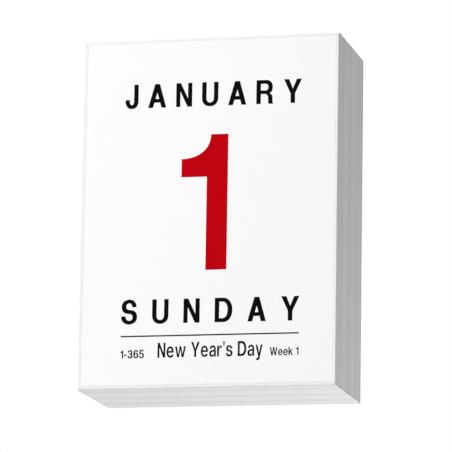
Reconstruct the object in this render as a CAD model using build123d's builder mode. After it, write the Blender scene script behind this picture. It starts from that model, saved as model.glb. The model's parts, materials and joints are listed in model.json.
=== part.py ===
from build123d import *

import os

os.makedirs("parts", exist_ok=True)

# A tear-off day calendar: a block of 365 gummed day leaves on a greyboard back.
#
# All lengths are in millimetres. X runs along the width of the leaves, Z is up, and the
# printed faces look along -Y, as when the block hangs on a wall. The origin is the centre
# of the backing board's back face. Every leaf is a solid of its own, with a breath of air
# behind it, and hangs from a film of padding gum along the heads of the leaves.

# Day leaves
leaf_width = 80.0
leaf_height = 108.0
leaf_thickness = 0.09
leaf_air = 0.009

# The first leaves of the year are each drawn in a little more on all four sides,
# which eases the front edges of the block
stepped_leaves = 7
step_per_leaf = 0.06

# The first leaf is also trimmed at its foot and both sides, so that the leaf under it
# shows there as an even rim
first_leaf_rim = 0.55

# Padding gum over the heads of the leaves
gum_film = 0.3
gum_edge_radius = 0.15

# Greyboard behind the last leaf
board_thickness = 1.5

month_days = {
    "january": 31,
    "february": 28,
    "march": 31,
    "april": 30,
    "may": 31,
    "june": 30,
    "july": 31,
    "august": 31,
    "september": 30,
    "october": 31,
    "november": 30,
    "december": 31,
}

leaf_pitch = leaf_thickness + leaf_air
days_in_year = sum(month_days.values())


def slot_depth(day):
    """How far the back of a day's slot in the block stands in front of the origin."""
    return board_thickness + leaf_pitch * (days_in_year - day)


def head_inset(day):
    """How far the head of a day's leaf is drawn in from the head of the block."""
    return step_per_leaf * max(stepped_leaves + 1 - day, 0)


def side_inset(day):
    """How far the sides and the foot of a day's leaf are drawn in."""
    return head_inset(day) + (first_leaf_rim if day == 1 else 0)


def leaves(days):
    """Upright leaves with equal outlines, each at the front of its own slot."""
    sides = side_inset(days[0])
    head = leaf_height / 2 - head_inset(days[0])
    planes = [Plane.XZ.offset(slot_depth(day) + leaf_air) for day in days]
    with BuildPart() as stack:
        with BuildSketch(*planes):
            with Locations((0, head)):
                Rectangle(
                    leaf_width - 2 * sides,
                    head + leaf_height / 2 - sides,
                    align=(Align.CENTER, Align.MAX),
                )
        extrude(amount=leaf_thickness)
    return stack


def gum(days):
    """The stretch of gum film over the heads of these leaves, rounded at both ends.

    Behind the last leaf of the year it runs on over the head of the board.
    """
    back = slot_depth(days[-1]) if days[-1] < days_in_year else 0
    front = slot_depth(days[0]) + leaf_pitch
    with BuildPart() as film:
        with BuildSketch(Plane.XZ.offset(back)):
            with Locations((0, leaf_height / 2 - head_inset(days[0]))):
                Rectangle(
                    leaf_width - 2 * side_inset(days[0]),
                    gum_film,
                    align=(Align.CENTER, Align.MIN),
                )
            fillet(vertices().group_by(Axis.Y)[-1], gum_edge_radius)
        extrude(amount=front - back)
    return film


def save(piece, name):
    """Label a finished piece and write it under its node's name."""
    piece.part.label = name
    export_step(piece.part, f"parts/{name}.step")


# The stepped leaves come off one by one, each with its own line of gum
for day in range(1, stepped_leaves + 1):
    save(leaves([day]), f"leaf_{day:02d}")
    save(gum([day]), f"gum_line_{day:02d}")

# The rest of the year, month by month
first_day = stepped_leaves + 1
month_end = 0
for month, length in month_days.items():
    month_end += length
    days = range(first_day, month_end + 1)
    save(leaves(days), f"{month}_leaves")
    save(gum(days), f"{month}_gum")
    first_day = month_end + 1

# The board is cut with the leaves, so it has their outline
with BuildPart() as board:
    with BuildSketch(Plane.XZ):
        Rectangle(leaf_width, leaf_height)
    extrude(amount=board_thickness)
save(board, "backing_board")
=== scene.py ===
import json
import math

import bmesh
import bpy
from bpy.props import FloatProperty, FloatVectorProperty, IntProperty, PointerProperty
from bpy.types import Operator, Panel, PropertyGroup
from mathutils import Matrix, Vector


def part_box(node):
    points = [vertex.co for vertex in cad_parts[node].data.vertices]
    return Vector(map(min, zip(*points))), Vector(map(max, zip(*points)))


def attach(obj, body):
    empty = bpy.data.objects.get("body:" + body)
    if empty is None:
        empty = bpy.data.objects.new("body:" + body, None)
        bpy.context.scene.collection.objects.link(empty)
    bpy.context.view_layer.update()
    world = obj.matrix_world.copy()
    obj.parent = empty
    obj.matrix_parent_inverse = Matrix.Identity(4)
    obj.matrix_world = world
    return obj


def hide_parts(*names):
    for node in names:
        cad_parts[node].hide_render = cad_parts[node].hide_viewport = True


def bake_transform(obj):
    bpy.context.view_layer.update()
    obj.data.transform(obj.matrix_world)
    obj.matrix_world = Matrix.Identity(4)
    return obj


bl_info = {
    "name": "Tear-off day block",
    "version": (1, 0, 0),
    "blender": (4, 5, 0),
    "location": "View3D > Sidebar > Day block",
    "description": "Dresses a gummed block of day leaves: paper, print, gum, board and studio",
    "category": "Object",
}

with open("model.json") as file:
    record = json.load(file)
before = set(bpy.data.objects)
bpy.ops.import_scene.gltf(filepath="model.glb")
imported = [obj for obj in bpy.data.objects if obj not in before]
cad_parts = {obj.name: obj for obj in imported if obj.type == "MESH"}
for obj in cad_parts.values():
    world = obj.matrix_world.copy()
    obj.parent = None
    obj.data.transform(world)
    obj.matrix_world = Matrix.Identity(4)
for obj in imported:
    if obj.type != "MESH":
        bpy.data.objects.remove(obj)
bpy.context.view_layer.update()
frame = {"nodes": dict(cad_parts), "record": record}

mm = 0.001
micron = 0.000001

black = (0.0, 0.0, 0.0, 1.0)
white = (1.0, 1.0, 1.0, 1.0)

# The block as the frame gives it: its full leaves, its first leaf and its depth
full_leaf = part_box("december_leaves")
first_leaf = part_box("leaf_01")
half_width = full_leaf[1].x
half_height = full_leaf[1].z
block_depth = -first_leaf[0].y
full_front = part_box("january_leaves")[0].y

# Months in their order, with their days
months = {
    "january": 31,
    "february": 28,
    "march": 31,
    "april": 30,
    "may": 31,
    "june": 30,
    "july": 31,
    "august": 31,
    "september": 30,
    "october": 31,
    "november": 30,
    "december": 31,
}
days_in_year = sum(months.values())
weekdays = ("sunday", "monday", "tuesday", "wednesday", "thursday", "friday", "saturday")
single_leaves = 7

# Marks on the trimmed sides: the depth of one gathering of leaves, and how often the lines
# change to the metre along the width, the depth and the height of the block
gather = 11.8 * mm
leaf_lines_pace = (12.0, 5200.0, 12.0)
quire_lines_pace = (4.0, 700.0, 4.0)
sway_pace = (3.0, 120.0, 3.0)

# How far the lines sway, in radians of a gathering's wave
line_sway = 1.2

# From how much of its normal along an axis a face begins to count as turned that way, and
# from how much it counts in full
facing = (0.3, 0.7)

# Width of the corners greyed by painted shade, on the block and on its gum, and what is taken off
# that painted shade at the front corner of the foot
corner_shade_width, gum_corner_shade_width = 0.5 * mm, 0.4 * mm
foot_spared = -0.6

# Bands over which the painted shade past the first leaf and inside it sets in, and the one over
# which the cut edges turn as pale as a page at the right end of the foot, a painted highlight
rim_shade_band = (-0.05 * mm, 0.1 * mm)
edge_shade_band = (0.2 * mm, 0.45 * mm)
foot_highlight_band = (0.2 * mm, 0.7 * mm)

# Sizes of the pulp's clouds and fibres, in the paper, under the ink and in the board
paper_pulp = {"cloud_size": 5 * mm, "fibre_size": 0.25 * mm}
ink_pulp = {"cloud_size": 1.6 * mm, "fibre_size": 0.2 * mm}
board_pulp = {"cloud_size": 7 * mm, "fibre_size": 0.5 * mm}

# The gum's brush strokes and pools to the metre, and the leaves' colour through the film
strokes_pace = (22.0, 900.0, 22.0)
pools_pace = 90.0
leaves_under_gum = (0.80, 0.79, 0.76)

# The board's flecks: their stretch, how far and how finely their outlines wander, and the
# draws past and below which one is dark or pale; and the depth of the board's surface
fleck_stretch = (1.0, 1.0, 2.6)
fleck_wander = 0.9 * mm
fleck_wander_pace = 700.0
fleck_dark_past, fleck_pale_below = 0.86, 0.16
board_tooth = 45 * micron

# Roughness and sheen of the paper, and how much its fibres and its cut edges roughen it
paper_roughness = 0.68
fibre_roughness = 0.12
cut_roughness = 0.12
paper_sheen = 0.3

# How far the ink pales where the fibres take it up, its sheen and the depth of its surface
ink_paling = 0.004
ink_sheen = 0.01
ink_tooth = 3 * micron

# Places of the three lamps and the widths of their squares, in metres
key_place, key_width = (-0.47, -0.92, 0.257), 0.6
bounce_place, bounce_width = (0.13, 0.02, -0.34), 0.3
back_place, back_width = (-0.3, 0.8, 0.9), 0.4

# Width of the camera's film in millimetres, half the floor's width in metres, and its glow
film_width = 36
floor_reach = 7.0
floor_glow = 0.42


# Sizes and colours that a user would change


def length_setting(name, description, default, precision=4):
    return FloatProperty(
        name=name, description=description, default=default, unit="LENGTH", precision=precision
    )


def colour_setting(name, description, default):
    return FloatVectorProperty(
        name=name, description=description, default=default, min=0, max=1, subtype="COLOR"
    )


def share_setting(name, description, default):
    return FloatProperty(
        name=name, description=description, default=default, min=0, max=1, subtype="FACTOR"
    )


class PaperSettings(PropertyGroup):
    page_colour: colour_setting("Page colour", "White of a leaf's face", (0.925, 0.924, 0.922))
    edge_colour: colour_setting(
        "Edge colour",
        "White of the cut edges, a little duller than the faces",
        (0.9, 0.9, 0.896),
    )
    streaks: share_setting(
        "Streaks", "How much the lines of the stacked leaves darken the cut edges", 0.16
    )
    # Painted shade along the block's long corners
    arris: share_setting(
        "Painted corner shade", "How much painted shade greys the long corners of the block", 0.2
    )
    # Painted shade on the rim of the leaves round the first leaf
    rim: share_setting(
        "Painted rim shade", "How much painted shade greys the rim round the first leaf", 0.1
    )
    tooth: length_setting("Tooth", "Depth of the paper's surface", 4 * micron, precision=6)


class TopLeafSettings(PropertyGroup):
    bend: length_setting(
        "Bend", "Length of leaf below the gum that bends when the leaf is lifted", 7 * mm
    )
    bend_rows: IntProperty(
        name="Bend rows",
        description="Rows of faces along the bend",
        default=20,
        min=2,
    )


class PrintSettings(PropertyGroup):
    black: colour_setting(
        "Black ink",
        "Colour of the words and the working days' numerals",
        (0.0035, 0.0035, 0.003),
    )
    red: colour_setting(
        "Red ink", "Colour of the Sundays' and holidays' numerals", (0.50, 0.0, 0.004)
    )
    film: length_setting("Ink film", "Thickness of the ink", 3 * micron, precision=6)
    lift: length_setting(
        "Ink lift", "How far the ink stands off the paper's face", 1 * micron, precision=6
    )
    left: length_setting("Left of the print", "From the block's left edge to the print", 13.4 * mm)
    measure: length_setting("Measure", "Width of the print", 55.1 * mm)
    word_height: length_setting(
        "Word height", "Height of the month's and the weekday's capitals", 7.4 * mm
    )
    word_swell: FloatProperty(
        name="Word swell",
        description="Swelling of their strokes on each side, in hundredths of that height",
        default=0.4,
    )
    letter_gap: length_setting("Letter gap", "Widest gap between their letters", 6 * mm)
    month_foot: length_setting(
        "Foot of the month", "From the block's head down to the month's foot", 21.2 * mm
    )
    weekday_foot: length_setting(
        "Foot of the weekday", "From the block's head down to the weekday's foot", 88.1 * mm
    )
    numeral_height: length_setting("Numeral height", "Height of the day of the month", 41.9 * mm)
    numeral_middle: length_setting(
        "Middle of the numeral",
        "From the block's left edge to the numeral's middle",
        38.65 * mm,
    )
    numeral_foot: length_setting(
        "Foot of the numeral", "From the block's head down to the numeral's foot", 72.0 * mm
    )
    rule_drop: length_setting(
        "Drop of the rule", "From the block's head down to the ruled line", 91.9 * mm
    )
    rule_weight: length_setting("Weight of the rule", "Thickness of the ruled line", 0.42 * mm)
    small_height: length_setting(
        "Small print height", "Height of the count and the week", 2.5 * mm
    )
    feast_height: length_setting("Feast height", "Height of the feast's name", 4.6 * mm)
    small_foot: length_setting(
        "Foot of the small print",
        "From the block's head down to the small print's foot",
        98.6 * mm,
    )


class GumSettings(PropertyGroup):
    colour: colour_setting("Gum colour", "Colour of the dried padding gum", (0.87, 0.866, 0.85))
    strokes: length_setting(
        "Brush strokes", "Height of the strokes left by the gum brush", 60 * micron, precision=6
    )


class BoardSettings(PropertyGroup):
    colour: colour_setting("Board colour", "Ground colour of the pulp board", (0.70, 0.69, 0.67))
    fleck: length_setting("Fleck", "Size of the fibre flecks", 0.9 * mm, precision=5)


class StageSettings(PropertyGroup):
    azimuth: FloatProperty(
        name="Azimuth",
        description="How far the camera stands to the right of the block's face",
        default=math.radians(13.32),
        subtype="ANGLE",
    )
    elevation: FloatProperty(
        name="Elevation",
        description="How far the camera stands above the block's centre, below it if negative",
        default=math.radians(-10.97),
        subtype="ANGLE",
    )
    roll: FloatProperty(
        name="Roll",
        description="Turn of the camera about its own line of sight",
        default=math.radians(0.92),
        subtype="ANGLE",
    )
    distance: length_setting(
        "Distance", "From the camera to the block's centre", 1.15, precision=2
    )
    lens: FloatProperty(
        name="Lens",
        description="Focal length in millimetres",
        default=297.5,
        min=1,
    )
    aim_right: length_setting(
        "Aim to the right",
        "How far the camera looks past the block's centre to the right",
        1.09 * mm,
        precision=5,
    )
    aim_up: length_setting(
        "Aim up",
        "How far the camera looks above the block's centre, below it if negative",
        -0.88 * mm,
        precision=5,
    )
    floor_drop: length_setting(
        "Floor drop", "From the block's centre down to the floor", 0.9, precision=2
    )
    key: FloatProperty(
        name="Key lamp",
        description="Power of the large lamp at the upper left",
        default=8.6,
        unit="POWER",
    )
    bounce: FloatProperty(
        name="Bounce lamp",
        description="Power of the lamp under the block",
        default=0.66,
        unit="POWER",
    )
    back: FloatProperty(
        name="Back lamp",
        description="Power of the lamp behind the block",
        default=5.0,
        unit="POWER",
    )
    surround: FloatProperty(
        name="Surround",
        description="Brightness of the pale room round the block",
        default=0.365,
        min=0,
        max=1,
    )


# Shader nodes


class Wiring:
    """Adds nodes to one tree. An input takes a number, a colour or another node's output."""

    def __init__(self, tree):
        self.tree = tree

    def node(self, kind, **settings):
        made = self.tree.nodes.new(kind)
        for name, value in settings.items():
            setattr(made, name, value)
        return made

    def feed(self, socket, value):
        if isinstance(value, bpy.types.NodeSocket):
            self.tree.links.new(value, socket)
        else:
            socket.default_value = value

    def math(self, operation, *values):
        made = self.node("ShaderNodeMath", operation=operation)
        for socket, value in zip(made.inputs, values):
            self.feed(socket, value)
        return made.outputs[0]

    def scaled(self, vector, scale):
        made = self.node("ShaderNodeMapping", vector_type="POINT")
        self.feed(made.inputs["Vector"], vector)
        self.feed(made.inputs["Scale"], scale)
        return made.outputs[0]

    def noise(self, vector, scale, detail=2.0, roughness=0.5, distortion=0.0):
        made = self.node("ShaderNodeTexNoise")
        self.feed(made.inputs["Vector"], vector)
        self.feed(made.inputs["Scale"], scale)
        self.feed(made.inputs["Detail"], detail)
        self.feed(made.inputs["Roughness"], roughness)
        self.feed(made.inputs["Distortion"], distortion)
        return made.outputs[0]

    def between(self, value, low, high, to_low=0.0, to_high=1.0):
        made = self.node("ShaderNodeMapRange", interpolation_type="SMOOTHSTEP")
        for name, number in (
            ("Value", value),
            ("From Min", low),
            ("From Max", high),
            ("To Min", to_low),
            ("To Max", to_high),
        ):
            self.feed(made.inputs[name], number)
        return made.outputs[0]

    def mix(self, share, first, second, blend="MIX"):
        made = self.node("ShaderNodeMix", data_type="RGBA", blend_type=blend)
        self.feed(made.inputs[0], share)
        self.feed(made.inputs[6], first)
        self.feed(made.inputs[7], second)
        return made.outputs[2]

    def parts(self, vector):
        made = self.node("ShaderNodeSeparateXYZ")
        self.feed(made.inputs[0], vector)
        return made.outputs

    def group(self, tree, **values):
        made = self.node("ShaderNodeGroup", node_tree=tree)
        for name, value in values.items():
            self.feed(made.inputs[name.replace("_", " ").capitalize()], value)
        return made.outputs


def colour(value):
    return (*value, 1.0)


def toned(value, share):
    """A colour made darker or paler by a share."""
    return colour(c * share for c in value)


def empty_group(name, inputs, outputs):
    """A shader node group with these sockets, its wiring and its two ends."""
    tree = bpy.data.node_groups.new(name, "ShaderNodeTree")
    for label, kind in inputs:
        tree.interface.new_socket(label, in_out="INPUT", socket_type=f"NodeSocket{kind}")
    for label in outputs:
        tree.interface.new_socket(label, in_out="OUTPUT", socket_type="NodeSocketFloat")
    wiring = Wiring(tree)
    given = wiring.node("NodeGroupInput").outputs
    result = wiring.node("NodeGroupOutput").inputs
    return tree, wiring, given, result


def pulp_group():
    """Clouds and fibres of felted pulp, for the leaves, the board and under the ink."""
    name = "Pulp"
    if name in bpy.data.node_groups:
        return bpy.data.node_groups[name]
    tree, w, given, result = empty_group(
        name,
        (("Vector", "Vector"), ("Cloud size", "Float"), ("Fibre size", "Float")),
        ("Clouds", "Fibres"),
    )
    per_cloud = w.math("DIVIDE", 1.0, given["Cloud size"])
    per_fibre = w.math("DIVIDE", 1.0, given["Fibre size"])
    clouds = w.noise(given["Vector"], per_cloud, detail=3.0, roughness=0.6)
    fibres = w.noise(
        given["Vector"], per_fibre, detail=4.0, roughness=0.65, distortion=1.2
    )
    w.feed(result["Clouds"], w.between(clouds, 0.3, 0.7))
    w.feed(result["Fibres"], w.between(fibres, 0.3, 0.7))
    return tree


def cut_stack_group():
    """Trimmed sides, their stacked lines, painted shade on corners and rim, and a painted foot
    highlight.
    """
    name = "Cut stack"
    if name in bpy.data.node_groups:
        return bpy.data.node_groups[name]
    tree, w, given, result = empty_group(
        name,
        (("Vector", "Vector"), ("Normal", "Vector"), ("Corner width", "Float")),
        ("Cut", "Lines", "Corner", "Foot highlight", "Rim"),
    )
    x, y, z = w.parts(given["Vector"])
    nx, ny, nz = w.parts(given["Normal"])
    aside_x = w.math("ABSOLUTE", nx)
    aside_z = w.math("ABSOLUTE", nz)
    w.feed(result["Cut"], w.between(w.math("ABSOLUTE", ny), *facing, 1.0, 0.0))
    leaf_lines = w.noise(w.scaled(given["Vector"], leaf_lines_pace), 1.0, roughness=0.6)
    quires = w.noise(w.scaled(given["Vector"], quire_lines_pace), 1.0, roughness=0.6)
    fine = w.between(w.math("ADD", leaf_lines, quires), 0.75, 1.25)
    sway = w.noise(w.scaled(given["Vector"], sway_pace), 1.0, detail=1.0)
    turns = w.math("MULTIPLY_ADD", y, math.tau / gather, -1.0)
    turns = w.math("MULTIPLY_ADD", sway, line_sway, turns)
    gathers = w.math("MULTIPLY_ADD", w.math("SINE", turns), 0.5, 0.5)
    lines = w.math("MULTIPLY", fine, 0.5)
    w.feed(result["Lines"], w.math("MULTIPLY_ADD", gathers, 0.5, lines))
    # Painted shade: the long corners, a line behind the stepped leaves and the back are greyed,
    # less at the front corner of the foot
    from_side = w.math(
        "ADD", w.math("SUBTRACT", half_width, w.math("ABSOLUTE", x)), aside_x
    )
    from_foot = w.math(
        "ADD", w.math("SUBTRACT", half_height, w.math("ABSOLUTE", z)), aside_z
    )
    width = given["Corner width"]
    across = w.math("DIVIDE", w.math("MINIMUM", from_side, from_foot), width)
    behind_steps = w.math("ADD", y, -full_front)
    at_front = w.math("DIVIDE", w.math("ABSOLUTE", behind_steps), width)
    at_back = w.math("DIVIDE", w.math("MULTIPLY", y, -1.0), width)
    under = w.between(w.math("MULTIPLY", nz, -1.0), *facing)
    front = w.between(at_front, 1.6, 3.6, 1.0, 0.0)
    front = w.math("MULTIPLY_ADD", under, foot_spared, front)
    corner = w.math("MAXIMUM", front, w.between(across, 0.2, 1.0, 0.7, 0.0))
    corner = w.math("MAXIMUM", corner, w.between(at_back, 1.8, 3.6, 0.5, 0.0))
    w.feed(result["Corner"], w.math("MULTIPLY", corner, w.math("GREATER_THAN", behind_steps, 0.0)))
    # Painted shade on the rim of the leaves past the first leaf's left edge and head, and 0.8 of
    # it past its foot
    past_left = w.math("SUBTRACT", w.math("MULTIPLY", x, -1.0), first_leaf[1].x)
    past_head = w.math("SUBTRACT", z, first_leaf[1].z)
    past_foot = w.math("SUBTRACT", first_leaf[0].z, z)
    past = w.math("MAXIMUM", past_left, past_head)
    rim = w.math(
        "MAXIMUM",
        w.between(past, *rim_shade_band),
        w.between(past_foot, *rim_shade_band, 0.0, 0.8),
    )
    w.feed(result["Rim"], rim)
    # Painted highlight: the cut edges near the right end of the foot are as pale as a page
    from_right = w.math("SUBTRACT", half_width, x)
    right_end = w.between(from_right, *foot_highlight_band, 1.0, 0.0)
    w.feed(result["Foot highlight"], w.math("MULTIPLY", right_end, under))
    return tree


def new_material(name):
    """A material with an empty tree, its wiring, its shader and the piece's own places."""
    material = bpy.data.materials.new(name)
    material.use_nodes = True
    tree = material.node_tree
    tree.nodes.clear()
    w = Wiring(tree)
    shader = w.node("ShaderNodeBsdfPrincipled")
    output = w.node("ShaderNodeOutputMaterial")
    tree.links.new(shader.outputs[0], output.inputs["Surface"])
    return material, w, shader.inputs, w.node("ShaderNodeTexCoord").outputs


def roughen(w, shader, height, depth):
    """Feeds a bump of this depth, in metres, to the shader."""
    bump = w.node("ShaderNodeBump")
    w.feed(bump.inputs["Strength"], 1.0)
    w.feed(bump.inputs["Distance"], depth)
    w.feed(bump.inputs["Height"], height)
    w.feed(shader["Normal"], bump.outputs[0])


def page_colour(w, settings, vector):
    """The white of a printed face with its faint pulp, and the fibres for its surface."""
    pulp = w.group(pulp_group(), vector=vector, **paper_pulp)
    ground = settings.page_colour
    clouds = w.math("MULTIPLY", pulp["Clouds"], 0.5)
    page = w.mix(clouds, colour(ground), toned(ground, 0.985))
    page = w.mix(w.math("MULTIPLY", pulp["Fibres"], 0.4), page, toned(ground, 0.98))
    return page, pulp["Fibres"]


def paper_material(settings):
    """Smooth white uncoated paper, with the lines of the stack on its cut edges."""
    name = "Leaf paper"
    if name in bpy.data.materials:
        return bpy.data.materials[name]
    material, w, shader, place = new_material(name)
    page, fibres = page_colour(w, settings, place["Object"])
    cut = w.group(
        cut_stack_group(),
        vector=place["Object"],
        normal=place["Normal"],
        corner_width=corner_shade_width,
    )
    streaked = w.math("SUBTRACT", 1.0, w.math("MULTIPLY", cut["Lines"], settings.streaks))
    # Painted shade greys the corners of the cut edges
    corner_shaded = w.math("SUBTRACT", 1.0, w.math("MULTIPLY", cut["Corner"], settings.arris))
    shade = w.math("MULTIPLY", streaked, corner_shaded)
    grey = w.node("ShaderNodeCombineColor")
    for socket in grey.inputs:
        w.feed(socket, shade)
    edge = w.mix(1.0, colour(settings.edge_colour), grey.outputs[0], "MULTIPLY")
    # A painted highlight at the foot's right end
    edge = w.mix(cut["Foot highlight"], edge, colour(settings.page_colour))
    # Painted shade greys the rim round the first leaf
    page = w.mix(w.math("MULTIPLY", cut["Rim"], settings.rim), page, black)
    w.feed(shader["Base Color"], w.mix(cut["Cut"], page, edge))
    smooth = w.math("MULTIPLY_ADD", fibres, fibre_roughness, paper_roughness)
    w.feed(shader["Roughness"], w.math("MULTIPLY_ADD", cut["Cut"], cut_roughness, smooth))
    w.feed(shader["Specular IOR Level"], paper_sheen)
    height = w.math("MULTIPLY_ADD", cut["Cut"], cut["Lines"], fibres)
    roughen(w, shader, height, settings.tooth)
    return material


def top_leaf_material(settings):
    """The same paper on a leaf that bends, read from the places its points have when flat."""
    name = "Top leaf paper"
    if name in bpy.data.materials:
        return bpy.data.materials[name]
    material, w, shader, _ = new_material(name)
    flat = w.node("ShaderNodeAttribute", attribute_name="flat_place")
    page, fibres = page_colour(w, settings, flat.outputs["Vector"])
    x, _, z = w.parts(flat.outputs["Vector"])
    # Painted shade: a band inside the top leaf's left edge, head and foot, greyed by the rim's
    # share
    from_left = w.math("SUBTRACT", x, first_leaf[0].x)
    from_head = w.math("SUBTRACT", first_leaf[1].z, z)
    from_foot = w.math("SUBTRACT", z, first_leaf[0].z)
    inside = w.math("MINIMUM", from_left, w.math("MINIMUM", from_head, from_foot))
    edge_shade = w.between(inside, *edge_shade_band, settings.rim, 0.0)
    w.feed(shader["Base Color"], w.mix(edge_shade, page, black))
    smooth = w.math("MULTIPLY_ADD", fibres, fibre_roughness, paper_roughness)
    w.feed(shader["Roughness"], smooth)
    w.feed(shader["Specular IOR Level"], paper_sheen)
    roughen(w, shader, fibres, settings.tooth)
    return material


def ink_material(name, value):
    """Matt offset ink, a little uneven where the paper's fibres take it up."""
    if name in bpy.data.materials:
        return bpy.data.materials[name]
    material, w, shader, place = new_material(name)
    pulp = w.group(pulp_group(), vector=place["Object"], **ink_pulp)
    thin = w.math("MULTIPLY", w.math("MULTIPLY", pulp["Clouds"], pulp["Fibres"]), 0.3)
    paler = colour(c + ink_paling * (1.0 - c) for c in value)
    w.feed(shader["Base Color"], w.mix(thin, colour(value), paler))
    w.feed(shader["Roughness"], w.math("MULTIPLY_ADD", pulp["Fibres"], 0.2, 0.5))
    w.feed(shader["Specular IOR Level"], ink_sheen)
    roughen(w, shader, pulp["Fibres"], ink_tooth)
    return material


def gum_material(settings):
    """Dried padding gum: satin, brushed along the heads, with the leaves' lines under it."""
    name = "Padding gum"
    if name in bpy.data.materials:
        return bpy.data.materials[name]
    material, w, shader, place = new_material(name)
    cut = w.group(
        cut_stack_group(),
        vector=place["Object"],
        normal=place["Normal"],
        corner_width=gum_corner_shade_width,
    )
    brushed = w.scaled(place["Object"], strokes_pace)
    strokes = w.noise(brushed, 1.0, detail=3.0, roughness=0.55, distortion=0.6)
    pools = w.noise(place["Object"], pools_pace)
    thin = w.math("MULTIPLY", w.between(strokes, 0.35, 0.7), w.between(pools, 0.35, 0.65))
    # Darker where the gum is thin, and painted shade along its corners
    thin_and_corner_shade = w.math("ADD", w.math("MULTIPLY", thin, 0.5), w.math("MULTIPLY", cut["Corner"], 0.35))
    base = w.mix(thin_and_corner_shade, colour(settings.colour), toned(settings.colour, 0.9))
    through = w.math("MULTIPLY", cut["Lines"], 0.25)
    base = w.mix(through, base, colour(leaves_under_gum))
    # Painted shade: the gum's front and back faces are a darker copy of its colour
    base = w.mix(cut["Cut"], toned(settings.colour, 0.94), base)
    w.feed(shader["Base Color"], base)
    w.feed(shader["Roughness"], w.math("MULTIPLY_ADD", w.between(pools, 0.3, 0.7), 0.2, 0.42))
    w.feed(shader["Specular IOR Level"], 0.35)
    height = w.math("MULTIPLY_ADD", cut["Lines"], 0.3, strokes)
    roughen(w, shader, w.math("MULTIPLY", height, cut["Cut"]), settings.strokes)
    return material


def board_material(settings):
    """Pale grey pulp board: felted, flecked with fibres, with layers on its cut edges."""
    name = "Pulp board"
    if name in bpy.data.materials:
        return bpy.data.materials[name]
    material, w, shader, place = new_material(name)
    pulp = w.group(pulp_group(), vector=place["Object"], **board_pulp)
    cut = w.group(
        cut_stack_group(),
        vector=place["Object"],
        normal=place["Normal"],
        corner_width=corner_shade_width,
    )
    fleck = w.node("ShaderNodeTexVoronoi", feature="F1")
    stretched = w.scaled(place["Object"], fleck_stretch)
    bent = w.node("ShaderNodeVectorMath", operation="ADD")
    wander = w.node("ShaderNodeTexNoise")
    w.feed(wander.inputs["Vector"], place["Object"])
    w.feed(wander.inputs["Scale"], fleck_wander_pace)
    w.feed(bent.inputs[0], stretched)
    w.feed(bent.inputs[1], w.scaled(wander.outputs["Color"], (fleck_wander,) * 3))
    w.feed(fleck.inputs["Vector"], bent.outputs[0])
    w.feed(fleck.inputs["Scale"], 1.0 / settings.fleck)
    pick, _, _ = w.parts(fleck.outputs["Color"])
    speck = w.between(fleck.outputs["Distance"], 0.15, 0.4, 1.0, 0.0)
    dark = w.math("MULTIPLY", speck, w.math("GREATER_THAN", pick, fleck_dark_past))
    pale = w.math("MULTIPLY", speck, w.math("LESS_THAN", pick, fleck_pale_below))
    base = colour(settings.colour)
    for mask, share, tone in (
        (pulp["Clouds"], 0.6, 0.9),
        (pulp["Fibres"], 0.35, 1.12),
        (dark, 0.55, 0.45),
        (pale, 0.6, 1.25),
        # painted shade along the board's corners
        (cut["Corner"], 0.3, 0.85),
    ):
        base = w.mix(w.math("MULTIPLY", mask, share), base, toned(settings.colour, tone))
    w.feed(shader["Base Color"], base)
    w.feed(shader["Roughness"], w.math("MULTIPLY_ADD", pulp["Fibres"], 0.15, 0.78))
    w.feed(shader["Specular IOR Level"], 0.3)
    height = w.math("ADD", pulp["Fibres"], w.math("MULTIPLY", pulp["Clouds"], 0.8))
    roughen(w, shader, height, board_tooth)
    return material


def nodes_with(slot):
    """Names of the frame's nodes whose finish is this slot."""
    return [s["node"] for s in frame["record"]["subparts"] if s["material_slot"] == slot]


def dress(names, material):
    """Gives these frame nodes a material in place of their flat one."""
    for name in names:
        mesh = frame["nodes"][name].data
        mesh.materials.clear()
        mesh.materials.append(material)


# Letter outlines, drawn on a cap height of 100: width, then one closed line for each edge.
# A step is a corner; led by h or v it is a quarter turn that leaves level or upright.

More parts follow.
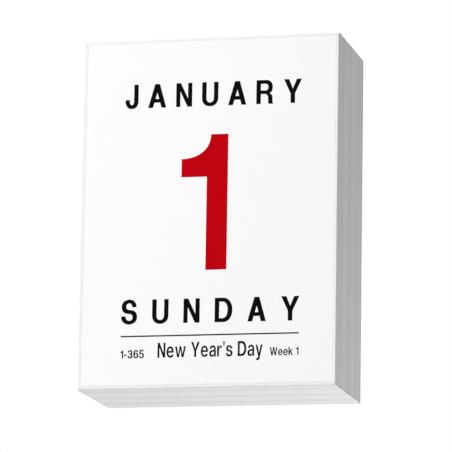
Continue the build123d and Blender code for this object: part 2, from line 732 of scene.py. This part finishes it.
letters = {
    "A": (76, "0,0 28,100 48,100 76,0 56.5,0 50.3,22 25.7,22 19.5,0", "29.9,37 46.1,37 38,66"),
    "B": (
        70,
        "0,0 0,100 38,100 h66,75 v50,53 h70,28 v41,0",
        "18,84.5 18,60 37,60 h48,72 v37,84.5",
        "18,44.5 18,15.5 39,15.5 h51.5,30 v39,44.5",
    ),
    "C": (77, "77,65 v40,101.5 h0,50 v40,-1.5 h77,35 59,35 v40,14 h19,50 v40,86 h59,65"),
    "D": (
        73,
        "0,0 0,100 34,100 h73,50 v34,0",
        "18,15.5 32,15.5 h54,50 v32,84.5 18,84.5",
    ),
    "E": (62, "0,0 0,100 61,100 61,84.5 18,84.5 18,59 57,59 57,43.5 18,43.5 18,15.5 62,15.5 62,0"),
    "F": (59, "0,0 0,100 59,100 59,84.5 18,84.5 18,58 53,58 53,42.5 18,42.5 18,0"),
    "G": (
        79,
        "76,67 v40,101.5 h0,50 v36,-1.5 h63,13 65,0 79,0 79,54 41,54 41,39.5 60.5,39.5"
        " v40,14 h19,50 v40,86 h58,67",
    ),
    "H": (68, "0,0 0,100 18,100 18,60 50,60 50,100 68,100 68,0 50,0 50,44.5 18,44.5 18,0"),
    "I": (18, "0,0 0,100 18,100 18,0"),
    "J": (54, "36,100 54,100 54,30 v27,-1.5 h0,30 0,36 17.5,36 17.5,30 v27,14 h36,30"),
    "L": (58, "0,0 0,100 18,100 18,15.5 58,15.5 58,0"),
    "M": (
        83,
        "0,0 0,100 25,100 41.5,34 58,100 83,100 83,0 66,0 66,72 49,0 34,0 17,72 17,0",
    ),
    "N": (67, "0,0 0,100 18.5,100 50,34 50,100 67,100 67,0 48.5,0 17,66 17,0"),
    "O": (81, "0,50 v40.5,101.5 h81,50 v40.5,-1.5 h0,50", "19,50 v40.5,86 h62,50 v40.5,14 h19,50"),
    "P": (
        67,
        "0,0 0,100 38,100 h67,69 v38,38 18,38 18,0",
        "18,84.5 18,53.5 37,53.5 h49,69 v37,84.5",
    ),
    "R": (
        73,
        "0,0 0,100 40,100 h68,71 v50,44 h67,24 67,8 71,0 51,0 49.5,6 49.5,22 v36,41.5"
        " 18,41.5 18,0",
        "18,84.5 18,56 38,56 h50,70.5 v38,84.5",
    ),
    "S": (
        67,
        "64,70 v33.5,101.5 h2,72 v29,43.5 h48.5,28.5 v34,13.5 h18,32 0,32 v33.5,-1.5"
        " h67,29.5 v40,57.5 h20.5,72 v33.5,86.5 h46.5,70",
    ),
    "T": (66, "0,100 66,100 66,84.5 42,84.5 42,0 24,0 24,84.5 0,84.5"),
    "U": (68, "0,100 0,33 v34,-1.5 h68,33 68,100 50,100 50,33 v34,14 h18,33 18,100"),
    "V": (73, "0,100 20,100 36.5,27 53,100 73,100 46.5,0 26.5,0"),
    "W": (
        104,
        "0,100 19,100 30.5,29 43,100 61,100 73.5,29 85,100 104,100 83,0 64.5,0 52,69 39.5,0 21,0",
    ),
    "Y": (74, "0,100 20.5,100 37,59 53.5,100 74,100 46,40 46,0 28,0 28,40"),
    "0": (61, "0,50 v30.5,101.5 h61,50 v30.5,-1.5 h0,50", "19,50 v30.5,87 h42,50 v30.5,13 h19,50"),
    "1": (34.6, "34.6,0 34.6,100 21.7,100 v0,82.2 0,68.7 19,68.7 19,0"),
    "2": (
        60,
        "0,0 0,12 v22,41 h40.5,71 v30,87 h19,66 0,66 v30,101.5 h60,71 v38,33 h22,15.5"
        " 60,15.5 60,0",
    ),
    "3": (
        61,
        "0,29 v30,-1.5 h61,29 v47,53 h58.5,75 v30,101.5 h2,71 20,71 v30,87 h40.5,73.5"
        " v28,60 23,60 23,46 28,46 h42.5,30 v30,13 h19,29",
    ),
    "4": (
        64,
        "37,0 37,22 0,22 0,38 35,100 55,100 55,37 64,37 64,22 55,22 55,0",
        "37,37 16,37 37,76",
    ),
    "5": (
        60,
        "8,100 55,100 55,84.5 23,84.5 20.5,61 24,64.5 28,66.5 33,67 h60,33 v30,-1.5 h0,27"
        " 19,27 v30,13 h41,32.5 v30,52.5 h19,45 1.5,45",
    ),
    "6": (
        61,
        "59,73 v31,101.5 h0,48 v31,-1.5 h61,33 v35,66 29,65.5 23.5,62.5 19,57 v31,87 h41,73",
        "19,33 v31,52.5 h42,33 v31,13 h19,33",
    ),
    "7": (
        58,
        "0,100 58,100 58,86 51.5,76.5 46,66 41,55 37,43 34,30 32,15 31,0 12,0 13,15 15,30"
        " 18,43 22,55 27,66.5 33,77 38.5,84.5 0,84.5",
    ),
    "8": (
        62,
        "31,101.5 h59.5,75 v47,53 h62,28 v31,-1.5 h0,28 v15,53 h2.5,75 v31,101.5",
        "31,88 h42,74.5 v31,60.5 h20,74.5 v31,88",
        "31,47 h43.5,30 v31,12.5 h18.5,30 v31,47",
    ),
    "9": (
        61,
        "2,27 v30,-1.5 h61,52 v30,101.5 h0,67 v26,34 32,34.5 37.5,37.5 42,43 v30,13 h20,27",
        "42,67 v30,47.5 h19,67 v30,87 h42,67",
    ),
    "-": (34, "1,33 33,33 33,48 1,48"),
    "'": (16, "0,102 16,102 12,68 4,68"),
    " ": (24,),
    "a": (
        57,
        "57,0 57,48 v30,75 h3,51 20,51 v30,61 h40.5,52 40.5,46.5 27,44.5 h0,21 v21,-1.5"
        " h40.5,10 42,0",
        "40.5,33.5 29,31.5 h17,21 v25,12 h40.5,27",
    ),
    "e": (
        62,
        "61.5,31 61.5,37 v31,75 h0,36.5 v31,-1.5 h60,21 43,21 v31,12.5 h18,31",
        "18.5,44 v31,61 h43.5,44",
    ),
    "k": (60, "0,0 0,100 17,100 17,46 37,73.5 57,73.5 36,46.5 60,0 40,0 24.5,33 17,24.5 17,0"),
    "r": (40, "0,0 0,73.5 16,73.5 16,60 20,67 26,72 33,74.5 40,75 40,58 35,58 h17,42 17,0"),
    "s": (
        57,
        "54,51 v28,75 h2,53 v24,31.5 h40,20.5 v28.5,11.5 h17,23 0,23 v28,-1.5 h57,21.5"
        " v34,42.5 h19,53 v28,62.5 h37.5,51",
    ),
    "w": (
        93,
        "0,73.5 17.5,73.5 28,22 38.5,73.5 54.5,73.5 65,22 75.5,73.5 93,73.5 74,0 57,0"
        " 46.5,49 36,0 19,0",
    ),
    "y": (
        61,
        "0,73.5 18,73.5 31,22 43,73.5 61,73.5 39,-6 v19,-29.5 7,-29.5 7,-15 13,-15 h22.5,-3"
        " 22.5,1",
    ),
}

# How full a quarter turn is, its steps, and the gap between letters that are set close
roundness = 0.6
steps_per_turn = 12
close_gap = 9

# How far the small print is stretched or squeezed along its line, and how far the feast's
# strokes are swelled and its middle set along the measure
count_stretch, week_stretch, feast_stretch = 1.03, 0.9, 0.8
feast_swell = -0.5
feast_middle = 0.505

# Ink points closer than this become one
weld = 0.2 * micron


def drawn(outline):
    """The corners of one closed line of a letter, its quarter turns rounded."""
    points = []
    for step in outline.split():
        end = Vector(tuple(float(n) for n in step.lstrip("hv").split(",")))
        if step[0] not in "hv":
            points.append(end)
            continue
        start = points[-1]
        across = Vector((end.x - start.x, 0))
        up = Vector((0, end.y - start.y))
        leaving, arriving = (across, up) if step[0] == "h" else (up, across)
        near = start + leaving * roundness
        far = end - arriving * roundness
        for i in range(1, steps_per_turn + 1):
            t = i / steps_per_turn
            s = 1 - t
            points.append(
                start * s**3 + near * (3 * s * s * t) + far * (3 * s * t * t) + end * t**3
            )
    if (points[0] - points[-1]).length < 0.01:
        points.pop()
    return points


def spread(word, measure, cap, widest_gap):
    """Each letter's left edge and the letters' stretch, so that the word fills the measure."""
    scale = cap / 100
    widths = [letters[c][0] * scale for c in word]
    gaps = max(len(word) - 1, 1)
    narrowest_gap = 0.2 * cap
    stretch = min(1.0, (measure - gaps * narrowest_gap) / sum(widths))
    gap = min(widest_gap, (measure - sum(widths) * stretch) / gaps)
    left = (measure - sum(widths) * stretch - gap * (len(word) - 1)) / 2
    places = []
    for width in widths:
        places.append(left)
        left += width * stretch + gap
    return places, stretch


def lay_flat(curve, film):
    """A mesh of a filled flat curve with the thickness of the ink film."""
    curve.extrude = film / 2
    holder = bpy.data.objects.new("drawing", curve)
    bpy.context.scene.collection.objects.link(holder)
    bpy.context.view_layer.update()
    mesh = bpy.data.meshes.new_from_object(
        holder.evaluated_get(bpy.context.evaluated_depsgraph_get())
    )
    bpy.data.objects.remove(holder)
    bpy.data.curves.remove(curve)
    return mesh


def word_mesh(word, cap, film, measure=None, widest_gap=0.0, stretch=1.0, swell=0.0):
    """A word in the drawn letters, spread over the measure or set close, foot at zero.

    Its strokes swell on each side by this many hundredths of the cap height.
    """
    curve = bpy.data.curves.new("word", "CURVE")
    curve.dimensions = "2D"
    curve.fill_mode = "BOTH"
    scale = cap / 100
    curve.offset = swell * scale
    if measure is None:
        places = []
        left = 0.0
        for character in word:
            places.append(left)
            left += (letters[character][0] + close_gap) * scale * stretch
    else:
        places, stretch = spread(word, measure, cap, widest_gap)
    for character, left in zip(word, places):
        for outline in letters[character][1:]:
            points = drawn(outline)
            spline = curve.splines.new("POLY")
            spline.points.add(len(points) - 1)
            for target, point in zip(spline.points, points):
                target.co = (left + point.x * scale * stretch, point.y * scale, 0, 1)
            spline.use_cyclic_u = True
    return lay_flat(curve, film)


def width_of(mesh):
    across = [v.co.x for v in mesh.vertices]
    return min(across), max(across)


class Page:
    """Collects the ink of one leaf's face, and turns it upright in front of the paper."""

    def __init__(self, face, settings):
        self.face = face
        self.settings = settings
        self.ink = bmesh.new()

    def place(self, mesh, left, down):
        """Puts a flat drawing with its zero this far from the block's left and top edges."""
        upright = Matrix.Rotation(math.radians(90), 4, "X")
        middle = self.face - self.settings.lift - self.settings.film / 2
        corner = Vector((-half_width + left, middle, half_height - down))
        mesh.transform(Matrix.Translation(corner) @ upright)
        self.ink.from_mesh(mesh)
        bpy.data.meshes.remove(mesh)

    def rule(self, down, thickness):
        """A thin line across the measure."""
        made = bmesh.ops.create_cube(self.ink, size=1.0)
        s = self.settings
        size = Vector((s.measure, s.film, thickness))
        middle = Vector(
            (
                -half_width + s.left + s.measure / 2,
                self.face - s.lift - s.film / 2,
                half_height - down,
            )
        )
        bmesh.ops.scale(self.ink, vec=size, verts=made["verts"])
        bmesh.ops.translate(self.ink, vec=middle, verts=made["verts"])

    def finish(self, name, body, material):
        bmesh.ops.remove_doubles(self.ink, verts=self.ink.verts, dist=weld)
        mesh = bpy.data.meshes.new(name)
        self.ink.to_mesh(mesh)
        self.ink.free()
        piece = bpy.data.objects.new(name, mesh)
        bpy.context.scene.collection.objects.link(piece)
        mesh.materials.append(material)
        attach(piece, body)


def print_leaf(day, month, day_of_month, node, body, s):
    """Words, numeral and rule of one day on the front of a node, riding on its body."""
    black_ink = ink_material("Black ink", s.black)
    red_ink = ink_material("Red ink", s.red)
    weekday = weekdays[(day - 1) % 7]
    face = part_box(node)[0].y
    words = Page(face, s)
    for word, foot in ((month, s.month_foot), (weekday, s.weekday_foot)):
        spaced = word_mesh(
            word.upper(), s.word_height, s.film, s.measure, s.letter_gap, swell=s.word_swell
        )
        words.place(spaced, s.left, foot)
    words.rule(s.rule_drop, s.rule_weight)
    count = f"{day}-{days_in_year + 1 - day}"
    count = word_mesh(count, s.small_height, s.film, stretch=count_stretch)
    words.place(count, s.left - width_of(count)[0], s.small_foot)
    week = f"Week {(day - 1) // 7 + 1}"
    week = word_mesh(week, s.small_height, s.film, stretch=week_stretch)
    words.place(week, s.left + s.measure - width_of(week)[1], s.small_foot)
    if day == 1:
        feast = word_mesh(
            "New Year's Day", s.feast_height, s.film, stretch=feast_stretch, swell=feast_swell
        )
        low, high = width_of(feast)
        middle = s.left + feast_middle * s.measure
        words.place(feast, middle - (low + high) / 2, s.small_foot)
    words.finish(f"words_{day:03d}", body, black_ink)
    numeral = Page(face, s)
    figure = word_mesh(str(day_of_month), s.numeral_height, s.film)
    low, high = width_of(figure)
    numeral.place(figure, s.numeral_middle - (low + high) / 2, s.numeral_foot)
    holiday = weekday == "sunday" or day == 1
    numeral.finish(f"numeral_{day:03d}", body, red_ink if holiday else black_ink)


# The pieces and the stage, one operator each


class DAYBLOCK_OT_paper(Operator):
    """Give the leaves of the block their paper"""

    bl_idname = "day_block.paper"
    bl_label = "Leaf paper"

    def execute(self, context):
        dress(nodes_with("leaf_paper"), paper_material(context.scene.day_block_paper))
        return {"FINISHED"}


class DAYBLOCK_OT_top_leaf(Operator):
    """Make the first leaf of the year as a fine sheet, cut in rows along its bend below the gum"""

    bl_idname = "day_block.top_leaf"
    bl_label = "Top leaf"

    def execute(self, context):
        settings = context.scene.day_block_top_leaf
        low, high = first_leaf
        sheet = bmesh.new()
        bmesh.ops.create_cube(sheet, size=1.0)
        bmesh.ops.scale(sheet, vec=high - low, verts=sheet.verts)
        bmesh.ops.translate(sheet, vec=(low + high) / 2, verts=sheet.verts)
        rows = settings.bend_rows
        for row in range(1, rows + 1):
            bmesh.ops.bisect_plane(
                sheet,
                geom=sheet.verts[:] + sheet.edges[:] + sheet.faces[:],
                plane_co=(0, 0, high.z - settings.bend * row / rows),
                plane_no=(0, 0, 1),
                dist=micron,
            )
        bmesh.ops.recalc_face_normals(sheet, faces=sheet.faces)
        mesh = bpy.data.meshes.new("top_leaf")
        sheet.to_mesh(mesh)
        sheet.free()
        flat = mesh.attributes.new("flat_place", "FLOAT_VECTOR", "POINT")
        for vertex in mesh.vertices:
            flat.data[vertex.index].vector = vertex.co
        piece = bpy.data.objects.new("top_leaf", mesh)
        context.scene.collection.objects.link(piece)
        mesh.materials.append(top_leaf_material(context.scene.day_block_paper))
        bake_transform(piece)
        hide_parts("leaf_01")
        return {"FINISHED"}


class DAYBLOCK_OT_print(Operator):
    """Print the leaves that can be seen: the first seven days and each month's front leaf"""

    bl_idname = "day_block.print"
    bl_label = "Print"

    def execute(self, context):
        settings = context.scene.day_block_print
        for day in range(1, single_leaves + 1):
            body = f"day_{day:02d}"
            print_leaf(day, "january", day, f"leaf_{day:02d}", body, settings)
        before = 0
        for month, length in months.items():
            first = single_leaves + 1 if month == "january" else 1
            print_leaf(before + first, month, first, f"{month}_leaves", month, settings)
            before += length
        return {"FINISHED"}


class DAYBLOCK_OT_gum(Operator):
    """Give the padding gum along the heads its brushed satin finish"""

    bl_idname = "day_block.gum"
    bl_label = "Padding gum"

    def execute(self, context):
        dress(nodes_with("padding_gum"), gum_material(context.scene.day_block_gum))
        return {"FINISHED"}


class DAYBLOCK_OT_board(Operator):
    """Give the backing board its flecked pulp"""

    bl_idname = "day_block.board"
    bl_label = "Backing board"

    def execute(self, context):
        dress(nodes_with("backing_greyboard"), board_material(context.scene.day_block_board))
        return {"FINISHED"}


def lamp(name, place, target, width, power):
    """A square soft lamp that faces a point."""
    light = bpy.data.lights.new(name, "AREA")
    light.shape = "SQUARE"
    light.size = width
    light.energy = power
    holder = bpy.data.objects.new(name, light)
    bpy.context.scene.collection.objects.link(holder)
    holder.location = place
    aim = Vector(target) - Vector(place)
    holder.rotation_euler = aim.to_track_quat("-Z", "Y").to_euler()


def floor_material():
    """A plain pale floor that looks near white and still takes shadows."""
    material, w, shader, place = new_material("Pale floor")
    cloud = w.noise(place["Object"], 1.5)
    darker, paler = colour((0.80,) * 3), colour((0.82,) * 3)
    w.feed(shader["Base Color"], w.mix(cloud, darker, paler))
    w.feed(shader["Roughness"], 0.9)
    w.feed(shader["Emission Color"], white)
    seen = w.node("ShaderNodeLightPath").outputs["Is Camera Ray"]
    w.feed(shader["Emission Strength"], w.math("MULTIPLY", seen, floor_glow))
    return material


class DAYBLOCK_OT_stage(Operator):
    """Set up the camera, the soft lamps, the pale floor and the white surround"""

    bl_idname = "day_block.stage"
    bl_label = "Stage"

    def execute(self, context):
        scene = context.scene
        s = scene.day_block_stage
        centre = Vector((0, -block_depth / 2, 0))
        back = Vector(
            (
                math.sin(s.azimuth) * math.cos(s.elevation),
                -math.cos(s.azimuth) * math.cos(s.elevation),
                math.sin(s.elevation),
            )
        )
        level = (-back).to_track_quat("-Z", "Y")
        turn = level.to_matrix().to_4x4() @ Matrix.Rotation(s.roll, 4, "Z")
        aim = centre + turn.to_3x3() @ Vector((s.aim_right, s.aim_up, 0))
        camera_data = bpy.data.cameras.new("camera")
        camera_data.lens = s.lens
        camera_data.sensor_width = film_width
        camera = bpy.data.objects.new("camera", camera_data)
        scene.collection.objects.link(camera)
        camera.matrix_world = Matrix.Translation(aim + back * s.distance) @ turn
        scene.camera = camera

        lamp("key", key_place, centre, key_width, s.key)
        lamp("bounce", bounce_place, centre, bounce_width, s.bounce)
        lamp("back", back_place, centre, back_width, s.back)

        sheet = bmesh.new()
        bmesh.ops.create_grid(sheet, x_segments=8, y_segments=8, size=floor_reach)
        bmesh.ops.translate(sheet, vec=(0, 0, -s.floor_drop), verts=sheet.verts)
        mesh = bpy.data.meshes.new("floor")
        sheet.to_mesh(mesh)
        sheet.free()
        floor = bpy.data.objects.new("floor", mesh)
        scene.collection.objects.link(floor)
        mesh.materials.append(floor_material())

        world = bpy.data.worlds.new("surround")
        scene.world = world
        world.use_nodes = True
        w = Wiring(world.node_tree)
        world.node_tree.nodes.clear()
        path = w.node("ShaderNodeLightPath").outputs
        seen = w.math("MAXIMUM", path["Is Camera Ray"], path["Is Glossy Ray"])
        seen = w.math("MAXIMUM", seen, path["Is Transmission Ray"])
        background = w.node("ShaderNodeBackground")
        w.feed(background.inputs["Color"], w.mix(seen, colour((s.surround,) * 3), white))
        w.feed(background.inputs["Strength"], 1.0)
        output = w.node("ShaderNodeOutputWorld")
        world.node_tree.links.new(background.outputs[0], output.inputs["Surface"])
        scene.view_settings.view_transform = "Standard"
        return {"FINISHED"}


class DAYBLOCK_PT_panel(Panel):
    """The block's pieces and its stage"""

    bl_idname = "DAYBLOCK_PT_panel"
    bl_label = "Day block"
    bl_space_type = "VIEW_3D"
    bl_region_type = "UI"
    bl_category = "Day block"

    def draw(self, context):
        for name, operators in sections.items():
            box = self.layout.box()
            for operator in operators:
                box.operator(operator)
            settings = getattr(context.scene, name)
            for prop in settings.bl_rna.properties:
                if prop.identifier in settings.__annotations__:
                    box.prop(settings, prop.identifier)


sections = {
    "day_block_paper": ("day_block.paper",),
    "day_block_top_leaf": ("day_block.top_leaf",),
    "day_block_print": ("day_block.print",),
    "day_block_gum": ("day_block.gum",),
    "day_block_board": ("day_block.board",),
    "day_block_stage": ("day_block.stage",),
}

settings_classes = {
    "day_block_paper": PaperSettings,
    "day_block_top_leaf": TopLeafSettings,
    "day_block_print": PrintSettings,
    "day_block_gum": GumSettings,
    "day_block_board": BoardSettings,
    "day_block_stage": StageSettings,
}

interface_classes = (
    DAYBLOCK_OT_paper,
    DAYBLOCK_OT_top_leaf,
    DAYBLOCK_OT_print,
    DAYBLOCK_OT_gum,
    DAYBLOCK_OT_board,
    DAYBLOCK_OT_stage,
    DAYBLOCK_PT_panel,
)


def register():
    for name, settings in settings_classes.items():
        bpy.utils.register_class(settings)
        setattr(bpy.types.Scene, name, PointerProperty(type=settings))
    for interface in interface_classes:
        bpy.utils.register_class(interface)


def unregister():
    for interface in reversed(interface_classes):
        bpy.utils.unregister_class(interface)
    for name, settings in settings_classes.items():
        delattr(bpy.types.Scene, name)
        bpy.utils.unregister_class(settings)


def main():
    """Registers the add-on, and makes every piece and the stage."""
    register()
    bpy.ops.day_block.paper()
    bpy.ops.day_block.top_leaf()
    bpy.ops.day_block.print()
    bpy.ops.day_block.gum()
    bpy.ops.day_block.board()
    bpy.ops.day_block.stage()


if __name__ == "__main__":
    main()
